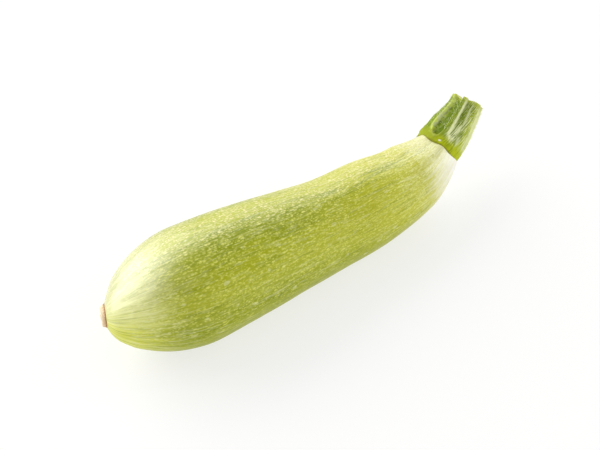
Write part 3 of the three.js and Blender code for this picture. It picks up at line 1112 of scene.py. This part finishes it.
# %% Where the bristles stand
bristle_skin = Skin("bristle_pale", Roughness=0.6, Specular_IOR_Level=0.2)
bristle_tint = noise(spread(bristle_skin.grown, 2 * MM, 2 * MM), 1.0)
bristle_skin.connect(
    Base_Color=bristle_skin.mix(bristle_tint, colour(208, 218, 140), colour(240, 244, 206))
)

bristle_size = {"density": 1.6, "length": 0.9 * MM, "thickness": 0.075 * MM}
PER_SQUARE_MM = 1e6
PLACE_SEED, LEAN_SEED, LENGTH_SEED = 7, 11, 3

bristle_ids, skin_in, bristle = open_tree("grow bristles", bristle_size)
read = {"data_type": "FLOAT_VECTOR"}
kept = skin_in.node("GeometryNodeInputNamedAttribute", read, {"Name": "grown"})
marked = skin_in.node("GeometryNodeInputNamedAttribute", read, {"Name": "mark"})
bristle_climb = kept.parts()[0] - FRUIT_LENGTH
off_cut = fade(0.0, 0.5, marked.parts()[2])
crowd = smooth(3 * MM, 12 * MM, bristle_climb) * off_cut
points = skin_in.node(
    "GeometryNodeDistributePointsOnFaces",
    {"distribute_method": "RANDOM"},
    {"Mesh": skin_in, "Density": crowd * bristle.density * PER_SQUARE_MM, "Seed": PLACE_SEED},
)

# %% Stand a cone on each point and grow them
LAST_STEPS = 40  # of the axis, for the way that the stem points at its cut
LEAN, SWAY = 0.9, 0.4
SHORTEST, LONGEST = 0.6, 1.2

pointing = Vector(axis_place[-1] - axis_place[-LAST_STEPS]).normalized()
sway = skin_in.node(
    "FunctionNodeRandomValue",
    {"data_type": "FLOAT_VECTOR"},
    {0: (-SWAY, -SWAY, -SWAY), 1: (SWAY, SWAY, SWAY), "Seed": LEAN_SEED},
)
aim = sway.vector("ADD", points.other("Normal"), tuple(pointing * LEAN))
aim = aim.vector("ADD", aim, sway)
turned = aim.node("FunctionNodeAlignRotationToVector", {"axis": "Z"}, {"Vector": aim})
cone_size = {
    "Vertices": 3,
    "Radius Top": 0.0,
    "Radius Bottom": bristle.thickness,
    "Depth": bristle.length,
}
cone = skin_in.node("GeometryNodeMeshCone", {"fill_type": "NGON"}, cone_size)
growth_range = {2: SHORTEST, 3: LONGEST, "Seed": LENGTH_SEED}
growth = skin_in.node("FunctionNodeRandomValue", {"data_type": "FLOAT"}, growth_range, 1)
placed = skin_in.node(
    "GeometryNodeInstanceOnPoints",
    {},
    {"Points": points, "Instance": cone, "Rotation": turned, "Scale": growth},
)
bristles = close_tree(placed, bristle_skin.material)
bristle_piece = grow("stem_bristles", stem_piece, bristles, bristle_ids, bristle_size)
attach(bristle_piece, "root")

# %% [markdown]
# ## The flower scar
#
# The flower leaves a small pad of cork: pale in the middle, brown and ragged at its
# rim, with rings and cracks as it dries. It is the same sweep once more, very short,
# with its rim frayed by noise.

# %% Paint the scar
CORK_PALE, CORK_TAN = colour(250, 232, 200), colour(238, 204, 158)
RING_BROWN = colour(214, 166, 112)
RIM_BROWN, UNDER_BROWN = colour(170, 104, 40), colour(104, 56, 14)
RING_WAVES, RING_WAVER = 26.0, 5.0  # radians from the middle to the rim

scar_skin = Skin("scar_cork", Roughness=0.85)
outward, tucked, _ = scar_skin.mark.parts()
cork = noise(spread(scar_skin.grown, 0.7 * MM, 0.5 * MM), 4.0, roughness=0.6)
rings = sine(outward * RING_WAVES + cork * RING_WAVER)
rim = smooth(0.9, 1.0, outward + (cork - 0.5) * 0.2)
tone = scar_skin.coats(
    CORK_PALE,
    (cork, CORK_TAN),
    (smooth(0.3, 0.95, rings) * 0.25, RING_BROWN),
    (rim * 0.95, scar_skin.mix(tucked, RIM_BROWN, UNDER_BROWN)),
)
scar_skin.connect(Base_Color=tone, Normal=scar_skin.bump(cork + rings * 0.15, 0.25 * MM))

# %% Grow the scar
FACE_SHARE, UNDERSIDE_START, TUCK_IN = 0.7, 0.85, 0.35  # shares of the grid, and of the radius
FRAY, FRAY_RISE = 0.09, 0.14 * MM
HOLLOW, RIM_BACK, TUCK, DISH = 0.35 * MM, 0.9 * MM, 1.6 * MM, 0.6 * MM
SWELL_AT, SWELL_SPREAD, SWELL = 0.78, 0.16, 0.35 * MM

scar = Sweep("grow scar", 60, 97, ["at_share", "radius", "proud"])
reach = scar.follow(scar.along * 0.0 + scar.size.at_share)
outwards = share_of(0.0, FACE_SHARE, scar.along)
tucking = share_of(FACE_SHARE, 1.0, scar.along)
straight = scar.straightened(reach, outwards * SCAR_RADIUS)
fray = lumps(straight, 1.1 * MM, 4.0)
pad = outwards * scar.size.radius * (1.0 + fray * FRAY * outwards)
pad = pad * (1.0 - tucking * TUCK_IN) * (1.0 - share_of(UNDERSIDE_START, 1.0, scar.along))
hollow = smooth(0.0, 0.5, outwards) * HOLLOW - bell((outwards - SWELL_AT) / SWELL_SPREAD) * SWELL
lift = hollow + smooth(0.8, 1.0, outwards) * RIM_BACK + fray * FRAY_RISE + tucking * TUCK
lift = lift - (1.0 - outwards * outwards) * DISH
lift = lift - scar.size.proud + nose_shift(scar.turn, pad, reach)
place = scar.around(pad, lift)
mark = join(outwards, tucking, 0.0)
scar_piece = scar.grow(
    "scar_pad",
    place,
    {"grown": straight, "mark": mark},
    scar_skin,
    at_share=axis_share(SCAR_REACH),
    radius=SCAR_RADIUS,
    proud=SCAR_PROUD,
)
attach(scar_piece, "root")
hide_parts("flower_scar")
bpy.data.objects.remove(axis)

# %% [markdown]
# ## Light
#
# The courgette lies on a lit table under a pale sky, so its shadow stays faint. One
# soft box behind it, to the left, lights its top, and a weaker one lights it from the
# stem's side. Neither shows as a reflection, so every sheen is placed on purpose, as a
# studio does with white cards: a small bright one and a wide veil round it for the
# flower end, a big one for the long back, and one for the shoulder. Each stands where
# the wax mirrors it. Here a card is a lamp that only shiny reflections see, so it adds
# its sheen and no other light.


# %% The table
TABLE_GLOW = 0.68
TABLE_GREYS = ((0.32, 0.32, 0.32), (0.33, 0.33, 0.33))


def lit_table(size):
    mesh = bpy.data.meshes.new("table")
    half, height = size / 2, -0.02 * MM
    corners = [(-half, -half), (half, -half), (half, half), (-half, half)]
    mesh.from_pydata([(x, y, height) for x, y in corners], [], [(0, 1, 2, 3)])
    made = bpy.data.objects.new("table", mesh)
    bpy.context.scene.collection.objects.link(made)
    paint = Skin(
        "table_white",
        Roughness=0.9,
        Specular_IOR_Level=0.0,
        Emission_Strength=TABLE_GLOW,
        Emission_Color=(1.0, 1.0, 1.0, 1.0),
    )
    speckle = noise(spread(paint.grown, 1.0, 1.0), 1.0)
    paint.connect(Base_Color=paint.mix(speckle, *TABLE_GREYS))
    mesh.materials.append(paint.material)
    return made


table = lit_table(8.0)


# %% The lamps
def panel(name, aim, direction, distance, size, energy):
    """A rectangular lamp at a distance from the point that it faces."""
    lamp = bpy.data.lights.new(name, "AREA")
    lamp.shape, lamp.size, lamp.size_y, lamp.energy = "RECTANGLE", *size, energy
    made = bpy.data.objects.new(name, lamp)
    towards = Vector(direction).normalized()
    made.location = Vector(aim) + towards * distance
    made.rotation_euler = towards.to_track_quat("Z", "Y").to_euler()
    made.visible_camera = False
    bpy.context.scene.collection.objects.link(made)
    return made


def soft_box(name, direction, distance, size, light, tint):
    """Its light is what white paper facing it beside the courgette would send back,
    and no reflection shows it."""
    made = panel(name, (0, 0, 0), direction, distance, size, light * (math.pi * distance) ** 2)
    made.data.color = tint
    made.visible_glossy = False


def sheen_card(name, aim, direction, distance, size, brightness):
    """A card that only shiny reflections see. White paper has a brightness of 1."""
    energy = brightness * math.pi * size[0] * size[1]
    panel(name, aim, direction, distance, size, energy).visible_diffuse = False


def heading_to(azimuth, elevation):
    """A direction from two angles in degrees, the first turning from the stem's way."""
    azimuth, elevation = math.radians(azimuth), math.radians(elevation)
    flat = math.cos(elevation)
    return (flat * math.cos(azimuth), flat * math.sin(azimuth), math.sin(elevation))


BELLY_HEIGHT = 22 * MM
WARM_WHITE, PLAIN_WHITE = (1.0, 0.985, 0.96), (1.0, 1.0, 1.0)

soft_box("key", heading_to(112, 35), 1.5, (2.2, 1.3), light=1.05, tint=WARM_WHITE)
soft_box("side", heading_to(-18, 14), 1.5, (0.9, 0.6), light=0.3, tint=PLAIN_WHITE)
nose = (fruit_low[0], (fruit_low[1] + fruit_high[1]) / 2, BELLY_HEIGHT)
sheen_card("tip card", nose, heading_to(120, 34), 0.22, (0.3, 0.2), brightness=2.4)
sheen_card("tip veil", nose, heading_to(111, 43), 0.24, (0.56, 0.42), brightness=2.3)
belly = (0, 0, BELLY_HEIGHT)
sheen_card("top card", belly, heading_to(48, 26), 1.2, (1.1, 0.9), brightness=2.4)
shoulder = (fruit_high[0], fruit_high[1] / 2, fruit_high[2] / 2)
sheen_card("shoulder card", shoulder, heading_to(-12, 12), 0.5, (0.4, 0.3), brightness=3.0)

# %% The sky
SKY_LIGHT = 0.58

world = bpy.data.worlds.new("sky")
world.use_nodes = True
sky = world.node_tree.nodes["Background"]
sky.inputs["Color"].default_value = (1.0, 1.0, 1.0, 1.0)
sky.inputs["Strength"].default_value = SKY_LIGHT
bpy.context.scene.world = world
bpy.context.scene.view_settings.view_transform = "Standard"
bpy.context.scene.view_settings.look = "None"
print("lit by a table, two soft boxes, four cards and a pale sky")
